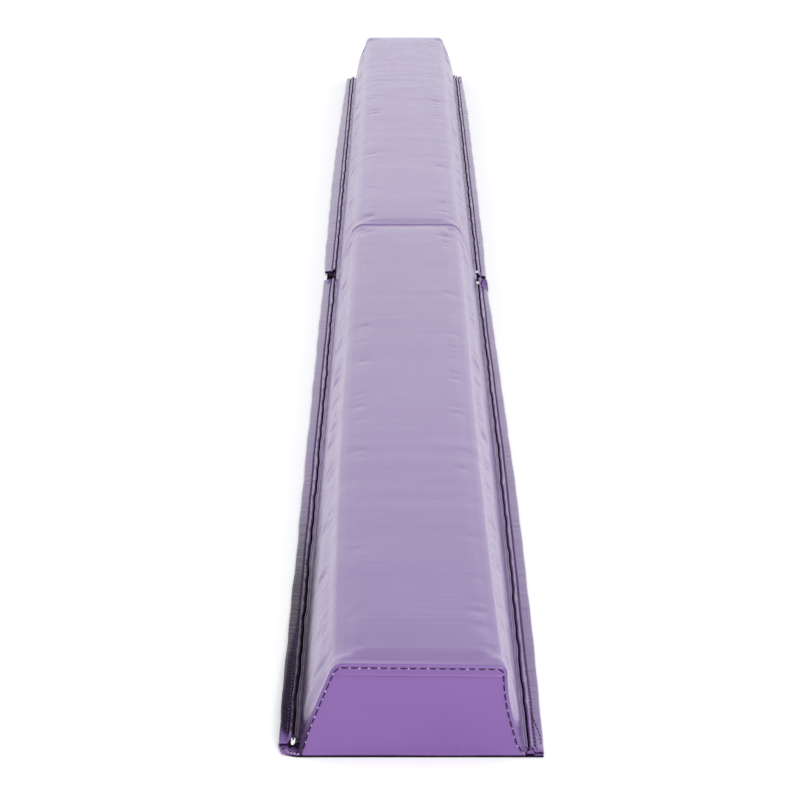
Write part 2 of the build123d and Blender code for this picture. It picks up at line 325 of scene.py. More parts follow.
def bump(tree, height, strength, distance, below=None):
    """A bump of a height value, in metres, over an earlier bump."""
    made = node(tree, "ShaderNodeBump", Strength=strength, Distance=distance)
    tree.links.new(height, made.inputs["Height"])
    if below is not None:
        tree.links.new(below, made.inputs["Normal"])
    return made.outputs["Normal"]


def follow(tree, shader, socket, value, low, high):
    """Has a shader socket go from low to high with a value."""
    made = node(tree, "ShaderNodeMapRange", To_Min=low, To_Max=high)
    tree.links.new(value, made.inputs["Value"])
    tree.links.new(made.outputs["Result"], shader.inputs[socket])


def colour_by(tree, shader, value, stops):
    """Colours the surface with a ramp over a value."""
    tree.links.new(ramp(tree, value, stops), shader.inputs["Base Color"])


def dent(tree, shader, height, strength, distance, below=None):
    """Roughens the surface with a bump."""
    tree.links.new(bump(tree, height, strength, distance, below), shader.inputs["Normal"])


def texture(tree, kind, scale, **settings):
    """A texture node over stretched object coordinates."""
    made = node(tree, kind, Scale=1.0, **settings)
    tree.links.new(stretched(tree, scale), made.inputs["Vector"])
    return made.outputs


def between_places(tree, axis, start, end):
    """A value that rises smoothly from 0 to 1 between two places along an axis, in metres."""
    spot = node(tree, "ShaderNodeTexCoord")
    parts = node(tree, "ShaderNodeSeparateXYZ")
    rise = node(tree, "ShaderNodeMapRange", interpolation_type="SMOOTHSTEP", From_Min=start, From_Max=end)
    tree.links.new(spot.outputs["Object"], parts.inputs["Vector"])
    tree.links.new(parts.outputs[axis], rise.inputs["Value"])
    return rise.outputs["Result"]


def product(tree, *values):
    """The product of node values and numbers."""
    total = values[0]
    for value in values[1:]:
        times = node(tree, "ShaderNodeMath", operation="MULTIPLY")
        tree.links.new(total, times.inputs[0])
        if isinstance(value, (int, float)):
            times.inputs[1].default_value = value
        else:
            tree.links.new(value, times.inputs[1])
        total = times.outputs["Value"]
    return total


def paint_shade(tree, shader, colour, areas):
    """Paints shade: takes colour and gloss down in the given areas, in place of shadow. An area is its
    places and its depth.
    """
    painted_shade = None
    for places, depth in areas:
        found = product(tree, *[between_places(tree, *place) for place in places], depth)
        if painted_shade is None:
            painted_shade = found
            continue
        most = node(tree, "ShaderNodeMath", operation="MAXIMUM")
        tree.links.new(painted_shade, most.inputs[0])
        tree.links.new(found, most.inputs[1])
        painted_shade = most.outputs[0]
    mix = node(tree, "ShaderNodeMix", data_type="RGBA")
    first, second = [socket for socket in mix.inputs if socket.type == "RGBA"]
    tree.links.new(colour, first)
    # the dark colour that the painted shade mixes in
    second.default_value = (0.012, 0.006, 0.017, 1.0)
    tree.links.new(painted_shade, mix.inputs["Factor"])
    tree.links.new([s for s in mix.outputs if s.type == "RGBA"][0], shader.inputs["Base Color"])
    follow(tree, shader, "Specular IOR Level", painted_shade, 0.5, 0.0)


def vinyl(name, dark, light, rough=(0.18, 0.27), streaks=0.5, painted_shade=()):
    """Glossy coated vinyl: cloudy colour, a fine grain and faint streaks across the beam, with painted
    shade in the areas given.
    """
    material, shader, tree = new_material(name)
    cloud = noise_node(tree, (9.0, 5.0, 9.0), detail=4.0)
    colour = ramp(tree, cloud, [(0.3, dark), (0.7, light)])
    if painted_shade:
        paint_shade(tree, shader, colour, painted_shade)
    else:
        tree.links.new(colour, shader.inputs["Base Color"])
    scuff = noise_node(tree, (60.0, 25.0, 60.0), detail=5.0, roughness=0.6)
    follow(tree, shader, "Roughness", scuff, *rough)
    shader.inputs["IOR"].default_value = 1.5
    grain = texture(tree, "ShaderNodeTexVoronoi", (1300.0,) * 3)["Distance"]
    streak = noise_node(tree, (14.0, 190.0, 14.0), detail=3.0)
    dent(tree, shader, streak, streaks, 0.00022, bump(tree, grain, 0.25, 0.00006))
    return material


def woven(name, dark, light, threads, rough=0.8):
    """Plain woven tape or webbing, with threads per metre both ways."""
    material, shader, tree = new_material(name)
    waves = []
    for axis in ("X", "Y"):
        waves.append(texture(tree, "ShaderNodeTexWave", (threads,) * 3, bands_direction=axis)["Fac"])
    mix = node(tree, "ShaderNodeMath", operation="MAXIMUM")
    tree.links.new(waves[0], mix.inputs[0])
    tree.links.new(waves[1], mix.inputs[1])
    colour_by(tree, shader, mix.outputs["Value"], [(0.2, dark), (0.9, light)])
    shader.inputs["Roughness"].default_value = rough
    shader.inputs["Specular IOR Level"].default_value = 0.08
    dent(tree, shader, mix.outputs["Value"], 0.7, 0.00015)
    return material


def foam_material():
    """Firm white foam: fused beads with fine pores."""
    material, shader, tree = new_material("core_foam")
    cells = texture(tree, "ShaderNodeTexVoronoi", (380.0,) * 3)["Distance"]
    colour_by(tree, shader, cells, [(0.0, (0.72, 0.74, 0.72)), (0.6, (0.86, 0.87, 0.85))])
    follow(tree, shader, "Roughness", cells, 0.7, 0.9)
    dent(tree, shader, cells, 0.6, 0.0004)
    return material


def rubber_material():
    """Black non-slip sheet with a fine pebbled face."""
    material, shader, tree = new_material("nonslip_base")
    pebble = texture(tree, "ShaderNodeTexVoronoi", (900.0,) * 3)["Distance"]
    dust = noise_node(tree, (30.0, 30.0, 30.0), detail=4.0)
    colour_by(tree, shader, dust, [(0.3, (0.006, 0.003, 0.009)), (0.75, (0.016, 0.009, 0.022))])
    follow(tree, shader, "Roughness", dust, 0.7, 0.9)
    shader.inputs["Specular IOR Level"].default_value = 0.0
    dent(tree, shader, pebble, 0.5, 0.00012)
    return material


def metal_material(name, dark, light, rough):
    """Plated or blackened zip metal with faint handling marks."""
    material, shader, tree = new_material(name)
    marks = noise_node(tree, (400.0, 1600.0, 400.0), detail=4.0)
    colour_by(tree, shader, marks, [(0.3, dark), (0.7, light)])
    follow(tree, shader, "Roughness", marks, *rough)
    shader.inputs["Metallic"].default_value = 1.0
    dent(tree, shader, marks, 0.2, 0.00003)
    return material


def thread_material(name, dark, light):
    """Twisted sewing thread with a slight sheen."""
    material, shader, tree = new_material(name)
    twist = texture(tree, "ShaderNodeTexWave", (700.0,) * 3, bands_direction="DIAGONAL")["Fac"]
    colour_by(tree, shader, twist, [(0.1, dark), (0.9, light)])
    shader.inputs["Roughness"].default_value = 0.5
    shader.inputs["Specular IOR Level"].default_value = 0.25
    dent(tree, shader, twist, 0.6, 0.0001)
    return material


def nylon_material():
    """Dark moulded nylon of the zip coils."""
    material, shader, tree = new_material("zip_coil")
    tone = noise_node(tree, (300.0, 300.0, 300.0))
    colour_by(tree, shader, tone, [(0.3, (0.020, 0.012, 0.030)), (0.7, (0.045, 0.028, 0.060))])
    follow(tree, shader, "Roughness", tone, 0.4, 0.55)
    shader.inputs["Specular IOR Level"].default_value = 0.25
    return material


# painted shade, where the vinyl is drawn dark in place of the shadow at the front left corner and along the
# right lip: the axis, and where along it the darkness starts and is full, in metres
FOOT_PAINTED_SHADE = [("X", -0.0550, -0.0650), ("Y", -0.56, -1.06), ("Z", 0.050, 0.014)]
LEAF_PAINTED_SHADE = [("X", -0.050, -0.060), ("Y", -0.60, -0.96), ("Z", 0.030, 0.020)]
CUFF_CLEAR = ("Y", -1.2040, -1.1900)
RIGHT_LIP_SHADE = [("X", 0.0640, 0.0695), ("Z", 0.016, 0.0055)]
# the cover and flange vinyls carry this painted shade; the flange's cuff end is kept clear of it
VINYL = vinyl("cover_vinyl", (0.160, 0.080, 0.268), (0.178, 0.092, 0.290),
              painted_shade=[(FOOT_PAINTED_SHADE, 0.8), (RIGHT_LIP_SHADE, 0.24)])
CAP_VINYL = vinyl("cap_vinyl", (0.170, 0.077, 0.276), (0.190, 0.088, 0.300), rough=(0.24, 0.34),
                  streaks=0.25)
FLANGE_VINYL = vinyl("flange_vinyl", (0.135, 0.064, 0.228), (0.160, 0.077, 0.258), streaks=0.35,
                     painted_shade=[(LEAF_PAINTED_SHADE + [CUFF_CLEAR], 0.87)])
# a light vinyl that paints a highlight line
PAINTED_HIGHLIGHT_VINYL = vinyl("joint_edge_painted_highlight", (0.48, 0.40, 0.60), (0.60, 0.52, 0.70), streaks=0.2)
CUFF_VINYL = vinyl("cuff_vinyl", (0.150, 0.066, 0.245), (0.175, 0.080, 0.275), streaks=0.3)
FOAM = foam_material()
RUBBER = rubber_material()
NICKEL = metal_material("zip_nickel", (0.70, 0.70, 0.71), (0.88, 0.88, 0.87), (0.14, 0.28))
GUNMETAL = metal_material("zip_gunmetal", (0.016, 0.013, 0.020), (0.040, 0.034, 0.048), (0.45, 0.6))
THREAD = thread_material("seam_thread", (0.008, 0.002, 0.022), (0.032, 0.009, 0.058))
FLANGE_THREAD = thread_material("flange_thread", (0.042, 0.018, 0.072), (0.100, 0.055, 0.145))
# pale lilac thread, light enough to paint the highlights at the needle holes
PAINTED_HIGHLIGHT_THREAD = thread_material("bobbin_thread_and_painted_highlight", (0.50, 0.38, 0.62), (0.74, 0.64, 0.84))
TAPE = woven("zip_tape", (0.006, 0.002, 0.011), (0.015, 0.008, 0.024), 2200.0)
STRIP = woven("hinge_webbing", (0.010, 0.008, 0.012), (0.040, 0.034, 0.046), 900.0)
NYLON = nylon_material()


# ---------------------------------------------------------------- cover

def wall_x(height):
    """Half width of the beam's straight wall at a height."""
    return TOP_HALF_WIDTH + WALL_SLOPE * (HEIGHT - height)


LIP_COLUMNS, WALL_COLUMNS, ARC_COLUMNS, TOP_COLUMNS = 11, 17, 9, 13


def lip_ends(side):
    """Where along a half the cover's turned-out lip starts and stops."""
    stop = HALF_LENGTH - (MOUTH_DEPTH if side == "left" else -6.0)
    return FLANGE_START - 3.0, stop


def groove_wander(along, half, side):
    """How far the groove strays sideways; none near the ends, where the sliders stop."""
    seed = 11 + 2 * HALVES[half] + 5 * SIDES[side]
    room = ease((along - FLANGE_START - 25) / 60) * ease((HALF_LENGTH - 25 - along) / 60)
    return room * wander(along, seed, (310.0, 140.0, 67.0, 38.0), 0.42) + bow(along, half, side)


def bow(along, half, side):
    """The front half's right foot and flange lie slightly bowed out."""
    if (half, side) != ("front", "right"):
        return 0 * along
    return FOOT_BOW * np.sin(np.pi * np.clip((along - 90) / (HALF_LENGTH - 150), 0, 1)) ** 2


def cover_side(along, half, side):
    """The cover's section from its lip to the middle of the top, as (rows, points, x z)."""
    end = cover_high.y
    near_joint = along - cover_low.y
    near_end = end - along
    radius = LEFT_EDGE_RADIUS if side == "left" else RIGHT_EDGE_RADIUS
    radius = radius + (JOINT_EDGE_RADIUS - radius) * bump_at(near_joint, JOINT_EDGE_FADE)
    radius = radius - (radius - 7.5) * bump_at(near_end, 30.0)
    ones = np.ones_like(along)
    groove = GROOVE_IN + FINE_GAP + groove_wander(along, half, side)
    crest = LIP_TOP + 0.3 + wander(along, 31 + SIDES[side], (90.0, 41.0, 23.0), 0.2)
    push = FOOT_PUSH + bow(along, half, side)
    lip = [
        (groove - 1.5, LIP_UNDERSIDE * ones), (groove - 0.7, LIP_UNDERSIDE * ones),
        (groove - 0.12, LIP_UNDERSIDE + 0.08 * ones), (groove, LIP_UNDERSIDE + 0.4 * ones),
        (groove - 0.12, crest - 0.25), (groove - 0.45, crest), (groove - 0.85, crest),
        (groove - 1.3, crest - 0.22), (groove - 1.75, crest - 0.35), (groove - 2.15, crest - 0.2),
        (wall_x(LIP_TOP + 0.9) + push + 0.12, LIP_TOP + 0.9 * ones),
    ]
    lip = np.stack([np.stack(p, -1) for p in lip], 1)
    start, stop = lip_ends(side)
    shown = ease((along - start) / 9.0) * ease((stop - along) / 9.0)
    straight = np.linspace(BASE_TOP + 0.15, LIP_TOP + 0.9, LIP_COLUMNS)
    straight = np.broadcast_to(np.stack([wall_x(straight), straight], -1), lip.shape).copy()
    straight[..., 0] += (FOOT_PUSH * ease(near_end / 30))[:, None]
    lip = lip * shown[:, None, None] + straight * (1 - shown[:, None, None])
    corner = radius * math.tan((math.pi / 2 - WALL_ANGLE) / 2)
    top_of_wall = HEIGHT - corner * math.cos(WALL_ANGLE)
    share = np.linspace(0, 1, WALL_COLUMNS + 1)[1:]
    wall_z = LIP_TOP + 1.6 + (top_of_wall[:, None] - LIP_TOP - 1.6) * share
    share = np.clip((wall_z - LIP_TOP) / (HEIGHT - LIP_TOP), 0, 1)
    bulge = WALL_BULGE * np.sin(np.pi * share ** 0.9) ** 2 * ease(near_joint / 40)[:, None]
    bulge = bulge + push[:, None] * np.exp(-(wall_z - LIP_TOP) / FOOT_PUSH_HEIGHT)
    bulge = bulge * ease(near_end / 30)[:, None]
    wall = np.stack([wall_x(wall_z) + bulge, wall_z], -1)
    turn = np.linspace(WALL_ANGLE, math.pi / 2, ARC_COLUMNS + 1)[1:]
    middle_x, middle_z = TOP_HALF_WIDTH - corner, HEIGHT - radius
    arc = np.stack([middle_x[:, None] + radius[:, None] * np.cos(turn),
                    middle_z[:, None] + radius[:, None] * np.sin(turn)], -1)
    share = np.linspace(1, 0, TOP_COLUMNS + 1)[1:]
    flat_x = middle_x[:, None] * share
    top = np.stack([flat_x, np.full_like(flat_x, HEIGHT)], -1)
    section = np.concatenate([lip, wall, arc, top], 1)
    rise = CROWN * ease(near_end / 80) * ease(near_joint / 50)
    section[..., 1] += rise[:, None] * ease((section[..., 1] - 50) / 10) * (
        1 - (section[..., 0] / TOP_HALF_WIDTH) ** 2)
    return section


def lean(points, half):
    """The front end's top leans to the right; points are (x, along, z) and come back moved."""
    if half != "front":
        return points
    moved = np.array(points, float)
    x, along, z = moved[..., 0], moved[..., 1], moved[..., 2]
    amount = np.clip(1 - (HALF_LENGTH - along) / SKEW_FADE, 0, 1) ** 2
    left = np.clip((z - 15) / 45, 0, 1) ** 1.15
    right = np.clip((z - 22) / 38, 0, 1) ** 2
    share = np.clip(x / TOP_HALF_WIDTH / 2 + 0.5, 0, 1)
    moved[..., 0] += FRONT_SKEW * amount * (left * (1 - share) + right * share)
    moved[..., 2] -= FRONT_TILT * amount * share * ease((z - 30) / 30)
    return moved


def cover_section(along, half):
    """The whole section, left lip to right lip, as (rows, points, x along z)."""
    along = np.atleast_1d(np.asarray(along, float))
    right = cover_side(along, half, "right")
    left = cover_side(along, half, "left")
    left[..., 0] *= -1
    both = np.concatenate([left, right[:, -2::-1]], 1)
    return np.stack([both[..., 0], np.broadcast_to(along[:, None], both.shape[:2]), both[..., 1]], -1)


def section_normals(section):
    """Outward directions of each section, level with the end face."""
    along = np.gradient(section, axis=1)
    normal = np.stack([-along[..., 2], np.zeros(along.shape[:2]), along[..., 0]], -1)
    return normal / (np.linalg.norm(normal, axis=-1, keepdims=True) + 1e-9)


def rolled_end(half, face, inward):
    """Rows that carry the cover round an end's corner and in over the end panel."""
    section = cover_section([face + inward * END_ROLL], half)
    normals = section_normals(section)
    rows = []
    for angle in np.linspace(0, math.pi / 2, 6)[1:]:
        rows.append((END_ROLL * (1 - math.cos(angle)), END_ROLL * (1 - math.sin(angle))))
    rows += [(ROLL_BAND - short, back) for short, back in
             ((0.85, -0.3), (0.5, -0.45), (0.2, -0.25), (0.03, 0.15), (0, 0.8), (0.4, 1.3))]
    made = []
    for inset, back in rows:
        row = section[0] - normals[0] * inset
        row[:, 1] = face + inward * back
        row[:, 2] = np.maximum(row[:, 2], BASE_TOP + 0.1)
        made.append(row)
    return made


OUTER_FACE = cap_high.y
INNER_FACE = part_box("back_inner_end_cap")[0].y / MM
BILLOW_STEP, BILLOW_FRAMES = 9.0, 20         # spacing of the simulated rows, and its length
BILLOW_PRESSURE, BILLOW_LIMIT = 4.0, 1.3


def billow(half, along):
    """How the slack cover settles over its foam: a short cloth simulation of a coarse copy."""
    rows_at = np.linspace(along[0], along[-1], int((along[-1] - along[0]) / BILLOW_STEP))
    coarse = cover_section(rows_at, half)[:, ::2]
    rows, columns = coarse.shape[:2]
    cloth_piece = make_mesh("billow", coarse, grid_faces(rows, columns), VINYL)
    held = cloth_piece.vertex_groups.new(name="held")
    index = np.arange(rows * columns).reshape(rows, columns)
    lip = LIP_COLUMNS // 2 + 1
    pinned = (index[:1], index[-1:], index[:, :lip], index[:, -lip:])
    edges = np.concatenate([part.ravel() for part in pinned])
    held.add([int(i) for i in edges], 1.0, "REPLACE")
    cloth = cloth_piece.modifiers.new("cloth", "CLOTH")
    settings = cloth.settings
    settings.quality = 6
    settings.mass = 0.25
    settings.tension_stiffness = settings.compression_stiffness = 25
    settings.bending_stiffness = 0.08
    settings.shrink_min = -0.0035
    settings.use_pressure = True
    settings.uniform_pressure_force = BILLOW_PRESSURE
    settings.vertex_group_mass = "held"
    settings.effector_weights.gravity = 0.0
    cloth.point_cache.frame_start, cloth.point_cache.frame_end = 1, BILLOW_FRAMES
    for step in range(1, BILLOW_FRAMES + 1):
        bpy.context.scene.frame_set(step)
    settled = cloth_piece.evaluated_get(bpy.context.evaluated_depsgraph_get()).to_mesh()
    found = np.zeros(rows * columns * 3, np.float32)
    settled.vertices.foreach_get("co", found)
    offset = found.reshape(rows, columns, 3) / MM - coarse
    bpy.context.scene.frame_set(1)
    bpy.data.objects.remove(cloth_piece)
    size = np.linalg.norm(offset, axis=-1, keepdims=True)
    offset = offset * np.minimum(1, BILLOW_LIMIT / np.maximum(size, 1e-9))
    return spread(offset, rows_at, along)


def spread(coarse, coarse_along, along):
    """Carries a coarse grid's values to the cover's own rows and columns, by straight lines between."""
    columns = 2 * coarse.shape[1] - 1
    row = np.interp(along, coarse_along, np.arange(len(coarse_along)))
    low = np.minimum(row.astype(int), len(coarse_along) - 2)
    share = (row - low)[:, None, None]
    rows = coarse[low] * (1 - share) + coarse[low + 1] * share
    wide = np.zeros((len(along), columns, coarse.shape[2]))
    wide[:, ::2] = rows
    wide[:, 1::2] = (rows[:, :-1] + rows[:, 1:]) / 2
    return wide


def fine_wrinkles(section, half):
    """Faint creases across the top and walls, and short puckers running in from the end seams."""
    across = noise_grid(section, (85.0, 27.0, 60.0), 3 + HALVES[half])
    fine = noise_grid(section, (50.0, 10.0, 40.0), 5 + HALVES[half])
    broad = noise_grid(section, (130.0, 70.0, 60.0), 8 + HALVES[half])
    streaky = noise_grid(section, (30.0, 190.0, 13.0), 12 + HALVES[half])
    patches = np.clip(noise_grid(section, (160.0, 260.0, 90.0), 21) * 1.6 + 0.55, 0.2, 1)
    pucker = noise_grid(section, (8.0, 120.0, 8.0), 15)
    along = section[..., 1]
    to_end = np.minimum(cover_high.y - along, along - cover_low.y)
    strength = 0.36 if half == "back" else 0.24
    on_wall = 1 - ease((section[..., 2] - 48) / 8)
    free = ease((section[..., 2] - LIP_TOP - 1.5) / 4)
    height = (strength * across + 0.035 * fine) * patches + 0.30 * broad + 0.28 * streaky * on_wall
    height = height + 0.16 * pucker * bump_at(to_end, 28.0)
    return (height * free * ease(to_end / 6))[..., None]


def cover(half):
    """The cover of one half: top, walls and turned-out lips, rolled over both ends."""
    start, stop = INNER_FACE + END_ROLL, OUTER_FACE - END_ROLL
    near = np.linspace(0, 12, 13)[:-1]
    between = np.linspace(start + 12, stop - 12, int((stop - start) / ROW_STEP))
    along = np.concatenate([start + near, between, stop - near[::-1]])
    body = cover_section(along, half)
    normals = section_normals(body)
    settled = ease(np.minimum(along - start, stop - along) / 25)[:, None, None]
    body = body + billow(half, along) * settled
    swell = JOINT_ROLL_SWELL * bump_at(along - start - 1, 2.2)[:, None] * ease((body[..., 2] - LIP_TOP) / 3)
    if half == "front":
        low = 1 - ease((body[..., 2] - LIP_TOP) / 32)
        swell = swell + JOINT_FLARE * bump_at(along - start, 15.0)[:, None] * low
    body = body + normals * (fine_wrinkles(body, half) + swell[..., None])
    joint_rows = rolled_end(half, INNER_FACE, 1)
    outer_rows = rolled_end(half, OUTER_FACE, -1)
    grid = np.concatenate([np.stack(joint_rows[::-1]), body, np.stack(outer_rows)], 0)
    grid = place(lean(grid, half), half)
    piece = grid_piece(f"{half}_cover_vinyl", grid, VINYL, SKIN, flip=half == "front")
    settle(piece, "purple_vinyl", half, f"{half}_cover")


# ---------------------------------------------------------------- end panels

SEAM_BAND = 5.6                  # height of the seam allowance under the end panel's top edge


def end_outline(half, face, inward, inset):
    """The end's outline at an inset from the cover's section, left foot to right foot."""
    section = cover_section([face + inward * END_ROLL], half)
    row = section[0] - section_normals(section)[0] * inset
    row[:, 1] = face
    row[:, 2] = np.maximum(row[:, 2], BASE_TOP + 0.1)
    return row


def end_panel(half, which):
    """The flat panel that closes one end: slightly crowned, its top seam allowance showing as a band."""
    face, inward = (OUTER_FACE, -1) if which == "outer" else (INNER_FACE, 1)
    arch = end_outline(half, face, inward, ROLL_BAND - 0.5)[:, ::2]
    left, right = arch[arch[:, 0] <= 0], arch[arch[:, 0] > 0][::-1]
    bottom, top = arch[:, 1].min(), arch[:, 1].max()
    line = top - SEAM_BAND
    rise = line - bottom
    steps = np.concatenate([[0, 0.4, 0.9, 1.6], np.linspace(2.6, rise - 2.2, 24),
                            rise + np.linspace(-1.6, 1.6, 11), rise + np.linspace(2.6, SEAM_BAND - 1.8, 3),
                            top - bottom - np.array([1.2, 0.8, 0.4, 0.12, 0.0])])
    height = bottom + steps
    near_rim = np.array([0, 0.006, 0.014, 0.026])
    across = np.concatenate([near_rim, np.linspace(0.045, 0.955, 52), 1 - near_rim[::-1]])
    x_left = np.interp(height, left[:, 1], left[:, 0])
    x_right = np.interp(height, right[:, 1], right[:, 0])
    x = x_left[:, None] + (x_right - x_left)[:, None] * across
    z = np.broadcast_to(height[:, None], x.shape)
    fine, coarse = np.linspace(0, 1, 500), np.linspace(0, 1, len(arch))
    rim = np.stack([np.interp(fine, coarse, arch[:, k]) for k in (0, 1)], -1)
    gap = np.sqrt(((np.stack([x, z], -1)[:, :, None] - rim) ** 2).sum(-1)).min(-1)
    gap = np.minimum(gap, 40)
    grid = points_of(x, face, z)
    foot = ease((z - bottom) / 6)
    out = -0.9 + 0.5 * ease(gap / 1.4) + (0.9 if which == "outer" else 0.35) * ease(gap / 26) * foot
    out = out + 0.45 * (1 - ease((z - bottom) / 3)) * ease(gap / 2)
    if which == "outer":
        run = ease((gap - 0.6) / 1.8)
        out = out + run * (0.25 * ease((z - line) / 0.6 + 0.5) + 0.62 * bump_at(z - line - 0.1, 0.6))
        out = out + 0.4 * noise_grid(grid, (42.0, 50.0, 26.0), 40 + HALVES[half]) * ease(gap / 12)
    grid[..., 1] = face - inward * out
    grid = place(lean(grid, half), half)
    outward = (half == "front") == (which == "outer")
    piece = grid_piece(f"{half}_{which}_end_panel", grid, CAP_VINYL, SKIN, flip=not outward)
    settle(piece, "purple_vinyl", half, f"{half}_{which}_end_cap")
    sew_end(half, which, face, inward)


def sew_end(half, which, face, inward):
    """The topstitch in the crease of the cover's rolled edge, with a pale bead by each stitch: bobbin
    thread at the needle hole, light enough to paint the hole's highlight.
    """
    path = end_outline(half, face, inward, ROLL_BAND + 0.22)
    path = path[path[:, 2] > BASE_TOP + 1.8]
    foot = path[-1]
    hook = foot + np.array([[1.6, 0.0, -0.9], [4.0, 0.0, -1.0]])
    path = np.concatenate([path, hook]) if which == "outer" else path
    path[:, 1] = face - inward * 0.02
    path = place(lean(path, half), half)
    outward = np.array([0, -inward * HALVES[half], 0])
    stitches = stitch_row(f"{half}_{which}_end_stitches", path, outward, THREAD, 5 + HALVES[half],
                          length=4.0, radius=0.35, sink=0.75)
    settle(stitches, "seam_thread", half, f"{half}_end_cap_thread")
    total = along_path(path, [0])[1]
    spots = along_path(path, np.arange(2.0 + 4.9, total - 4, STITCH_PITCH))[0]
    spots = spots + outward * 0.12
    rng = np.random.default_rng(9)
    spots = spots + rng.uniform(-0.3, 0.3, spots.shape) * np.array([1, 0, 1])
    sizes = np.array([0.42, 0.35, 0.45]) * rng.uniform(0.45, 1.25, (len(spots), 1))
    holes = beads(f"{half}_{which}_end_needle_holes", spots, sizes, PAINTED_HIGHLIGHT_THREAD)
    settle(holes, "seam_thread", half)


# ---------------------------------------------------------------- flanges and base

def flange_ends(half, side):
    """Where along the half a flange starts and stops; the left ones stop short at the fold."""
    return FLANGE_STARTS[half, side], HALF_LENGTH - 0.2


def corner_limit(x):
    """How far out the base and lower leaf reach: the left outer corners are cut round."""
    inset = np.clip((-x - 66.5) / (EDGE - 66.5), 0, 1)
    return HALF_LENGTH - CORNER_CUT * (1 - np.sqrt(1 - inset ** 2 * 0.999))


def flange_edge(along, half, side):
    """The outer edge of a flange: a little slack in the middle, true at the ends."""
    seed = 50 + 3 * HALVES[half] + 7 * SIDES[side]
    slack = ease((along - 20) / 160) * ease((HALF_LENGTH - along) / 300)
    places, offsets = zip(*FLANGE_SET[half, side], (HALF_LENGTH, 0.0))
    laid = np.interp(along, places, offsets)
    cut = EDGE - 0.2 + bow(along, half, side)
    return cut + laid + FLANGE_EXTRA[side] * slack + wander(along, seed, (420.0, 180.0, 75.0), 0.35)


def mouth_lift(x, along, half, limit):
    """How far the left flange's upper leaf stands up towards its open end, and turns down at its hem."""
    rise = ease(1 - (HALF_LENGTH - MOUTH_DEPTH - along) / MOUTH_LIFT_FADE)
    outer = np.clip((np.abs(x) - 73.2) / (EDGE - 73.2), 0, 1)
    turn_down = ease(1 - (limit - along) / (3.5 + 8.5 * outer))
    return MOUTH_LIFT[half] * rise * (0.12 + 0.88 * outer ** 1.3) * (1 - turn_down)


def flange(half, side):
    """The folded vinyl strip beside the wall, with its raised lip over the zip."""
    sign = SIDES[side]
    mouth = side == "left"
    start, stop = flange_ends(half, side)
    along = np.linspace(start, stop, int((stop - start) / FINE_STEP))
    ones = np.ones_like(along)
    seed = 50 + 3 * HALVES[half] + 7 * sign
    edge = flange_edge(along, half, side)
    groove = GROOVE_OUT + groove_wander(along, half, side) - 0.08
    crest = LIP_TOP + 0.75 + wander(along, seed + 1, (75.0, 33.0, 19.0), 0.3)
    seam = flange_seam(along, half, side)
    pinch = 0.5 - 0.5 * np.cos(2 * np.pi * (along - FLANGE_START) / STITCH_PITCH)
    leaf = LEAF_TOP - LEAF_SKIN / 2
    low = BASE_TOP + LEAF_SKIN / 2 + 0.1
    mid = (leaf + low) / 2
    tuck = ease((along - (HALF_LENGTH - MOUTH_RUN)) / 45) * (1 if mouth else 0)
    path = [
        (seam - 0.9 - 6.2 * tuck, low * ones), (seam + 0.6 - 4.0 * tuck, low * ones),
        (edge - 2.4, low * ones), (edge - 0.9, low * ones), (edge - 0.2, (low + 0.25) * ones),
        (edge, mid * ones),
        (edge - 0.2, leaf - 0.25 * ones), (edge - 0.8, leaf + 0.05 * ones), (edge - 2.0, leaf + 0.1 * ones),
        (seam + 1.2, leaf + 0.05 * ones), (seam + 0.55, leaf - 0.1 - 0.12 * pinch),
        (seam, leaf - 0.35 - 0.25 * pinch), (seam - 0.5, leaf - 0.2 * pinch),
        (seam - 0.95, leaf + 0.8 - 0.1 * pinch), (groove + 1.85, crest - 0.45), (groove + 1.4, crest),
        (groove + 0.95, crest - 0.3), (groove + 0.45, crest - 1.2), (groove + 0.2, crest - 2.2),
    ]
    section = np.stack([np.stack(p, -1) for p in path], 1)
    y = np.broadcast_to(along[:, None], section.shape[:2]).copy()
    if mouth:
        upper = HALF_LENGTH - MOUTH_DEPTH - np.linspace(0, 1.5, 14)
        limit = np.concatenate([corner_limit(-np.linspace(68.5, EDGE, 5)), upper])
        from_here = HALF_LENGTH - MOUTH_RUN
        squeeze = np.clip((y - from_here) / (stop - from_here), 0, 1)
        y = np.minimum(y, from_here) + squeeze * (limit[None, :] - from_here)
        lift = mouth_lift(section[..., 0], y, half, limit[None, :])
        lift[:, :5] = 0
        lift[:, 5] *= 0.5
        section[..., 1] += lift
    grid = np.stack([section[..., 0] * sign, y, section[..., 1]], -1)
    grid = grid + crumple(grid, half, side)
    piece = grid_piece(f"{half}_{side}_flange_vinyl", place(grid, half), FLANGE_VINYL, LEAF_SKIN, side=0.0,
                       flip=(half == "back") == (side == "right"))
    settle(piece, "purple_vinyl", half, f"{half}_{side}_flange")
    return place(grid, half)


def crumple(grid, half, side):
    """Small puckers along the leaf, and bunched vinyl at the ends by the fold and at the front right."""
    along, x, z = grid[..., 1], np.abs(grid[..., 0]), grid[..., 2]
    start, stop = flange_ends(half, side)
    moves = np.zeros_like(grid)
    top = ease((z - BASE_TOP - 1.3) / 1.2)
    moves[..., 2] = 0.22 * noise_grid(grid, (14.0, 5.5, 30.0), 33)
    moves[..., 2] += 0.35 * noise_grid(grid, (30.0, 45.0, 30.0), 34)
    near = bump_at(along - start, BUNCH_REACH[half, side]) * ease((x - 72.2) / 2.5) * BUNCH_SIZE[half, side]
    corner = bump_at(stop - along, 7.0) * (1.4 if side == "right" else 0.0)
    bunch = [noise_grid(grid, (6.5, 8.0, 7.0), 60 + k + HALVES[half]) for k in range(3)]
    bunch = np.stack(bunch, -1) * (near + corner)[..., None]
    bunch[..., 2] = np.abs(bunch[..., 2]) * 1.3
    bunch[..., 0] *= 0.6
    moves = moves + bunch
    moves[..., 2] = np.maximum(moves[..., 2], BASE_TOP + 0.45 - z)
    return moves * top[..., None]


